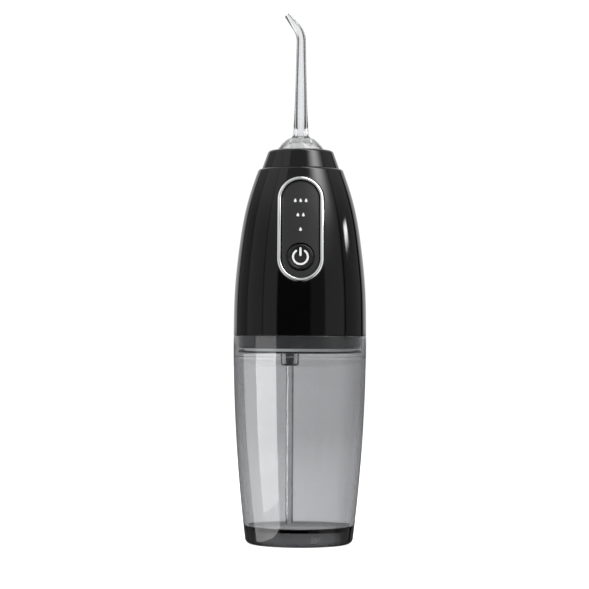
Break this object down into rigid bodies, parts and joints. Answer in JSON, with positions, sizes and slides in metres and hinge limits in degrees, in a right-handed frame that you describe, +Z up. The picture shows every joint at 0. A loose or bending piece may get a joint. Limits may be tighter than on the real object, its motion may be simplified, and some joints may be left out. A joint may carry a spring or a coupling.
{
  "type": "water flosser",
  "caption": "Cordless water flosser: clear tank that pulls off, gloss black handle with an oval control panel, and a turning bent nozzle.",
  "frame": {"origin": "centre of the tank's foot, on the surface it stands on", "axes": "+Z up along the body towards the nozzle, -Y out of the control panel, +X to the right of a person who faces the panel"},
  "size_m": [0.0672, 0.0672, 0.2696],
  "materials": {
    "tank_clear": "smoke-tinted clear plastic, glossy",
    "black_gloss": "deep black gloss moulding",
    "chrome_trim": "bright chrome plating",
    "panel_grey": "dark grey smooth lens",
    "nozzle_clear": "clear colourless plastic, glossy",
    "tube_clear": "clear tube",
    "dark_seal": "soft black silicone",
    "white_print": "pale translucent inlay",
    "smoke_gloss": "dark grey gloss moulding",
    "white_moulding": "plain white moulding",
    "frame_grey": "grey engineering plastic",
    "silicone_milk": "milky silicone hose",
    "steel": "plain steel",
    "brass": "plain brass",
    "board_green": "solder-masked board",
    "magnet_dark": "ferrite",
    "copper_core": "wound copper core",
    "cell_wrap": "shrink-wrapped cell"
  },
  "bodies": {
    "tank": {"tank_cup": "tank_clear"},
    "motor_rotor": {"motor_shaft": "steel", "motor_armature": "copper_core", "motor_pinion": "brass"},
    "gear_wheel": {"drive_gear": "white_moulding", "crank_pin": "steel"},
    "piston": {"piston_yoke": "white_moulding", "pump_piston": "frame_grey", "piston_seal": "dark_seal"},
    "inlet_poppet": {"inlet_valve": "dark_seal"},
    "outlet_poppet": {"outlet_valve": "dark_seal"},
    "tip_knob": {"tip_dome": "nozzle_clear", "knob_sleeve": "white_moulding", "sleeve_clip": "steel"},
    "nozzle": {"jet_tip": "nozzle_clear"},
    "power_key": {"button_cap": "black_gloss", "power_symbol": "white_print"},
    "release_key": {"release_button": "black_gloss", "latch_plate": "white_moulding"},
    "port_flap": {"port_cover": "dark_seal"},
    "handle": {"body_shell": "black_gloss", "neck_collar": "black_gloss", "base_plug": "smoke_gloss", "tank_seal_ring": "dark_seal", "tube_nut": "smoke_gloss", "suction_tube": "tube_clear", "inner_chassis": "frame_grey", "battery_cell": "cell_wrap", "motor_can": "steel", "motor_end_cap": "frame_grey", "motor_magnets": "magnet_dark", "gear_axle": "steel", "pump_cylinder": "frame_grey", "pump_head": "frame_grey", "pump_screws": "steel", "inlet_fitting": "white_moulding", "outlet_fitting": "white_moulding", "inlet_valve_spring": "steel", "outlet_valve_spring": "steel", "inlet_hose": "silicone_milk", "outlet_hose": "silicone_milk", "nozzle_socket": "white_moulding", "nozzle_seal": "dark_seal", "latch_spring": "steel", "trim_ring": "chrome_trim", "control_panel": "panel_grey", "button_pad": "dark_seal", "tact_switch": "frame_grey", "control_board": "board_green", "board_chips": "magnet_dark", "status_leds": "white_print", "light_guide": "nozzle_clear", "port_gasket": "dark_seal", "charging_port": "steel", "plug_screws": "steel", "motor_screws": "steel"}
  },
  "joints": [
    {"name": "handle_lift", "type": "slide", "parent": "tank", "child": "handle", "axis": [0, 0, 1], "range_m": [0, 0.1]},
    {"name": "tip_turn", "type": "hinge", "parent": "handle", "child": "tip_knob", "pos_m": [0, 0, 0.2], "axis": [0, 0, 1], "continuous": true},
    {"name": "nozzle_pull", "type": "slide", "parent": "tip_knob", "child": "nozzle", "axis": [0, 0, 1], "range_m": [0, 0.03]},
    {"name": "power_press", "type": "slide", "parent": "handle", "child": "power_key", "axis": [0, 0.9925, -0.1219], "range_m": [0, 0.0005], "stiffness_N_per_m": 600, "springref_m": -0.0012, "deforming": ["button_pad"]},
    {"name": "release_press", "type": "slide", "parent": "handle", "child": "release_key", "axis": [0, -1, 0], "range_m": [0, 0.0015], "stiffness_N_per_m": 500, "springref_m": -0.0015, "deforming": ["latch_spring"]},
    {"name": "port_open", "type": "hinge", "parent": "handle", "child": "port_flap", "pos_m": [0, 0.0327, 0.1176], "axis": [-1, 0, 0], "range_deg": [0, 95]},
    {"name": "motor_spin", "type": "hinge", "parent": "handle", "child": "motor_rotor", "pos_m": [0, -0.009, 0.13], "axis": [0, 0, 1], "continuous": true},
    {"name": "gear_spin", "type": "hinge", "parent": "handle", "child": "gear_wheel", "pos_m": [-0.0144, -0.009, 0.147], "axis": [0, 0, 1], "continuous": true},
    {"name": "piston_stroke", "type": "slide", "parent": "handle", "child": "piston", "axis": [1, 0, 0], "range_m": [-0.0015, 0.0015]},
    {"name": "inlet_valve_lift", "type": "slide", "parent": "handle", "child": "inlet_poppet", "axis": [0, 0, 1], "range_m": [0, 0.0006], "stiffness_N_per_m": 40, "springref_m": -0.001, "deforming": ["inlet_valve_spring"]},
    {"name": "outlet_valve_lift", "type": "slide", "parent": "handle", "child": "outlet_poppet", "axis": [0, 0, 1], "range_m": [0, 0.0006], "stiffness_N_per_m": 40, "springref_m": -0.001, "deforming": ["outlet_valve_spring"]}
  ],
  "couplings": [
    {"joint": "gear_spin", "follows": "motor_spin", "ratio": -0.33333}
  ]
}
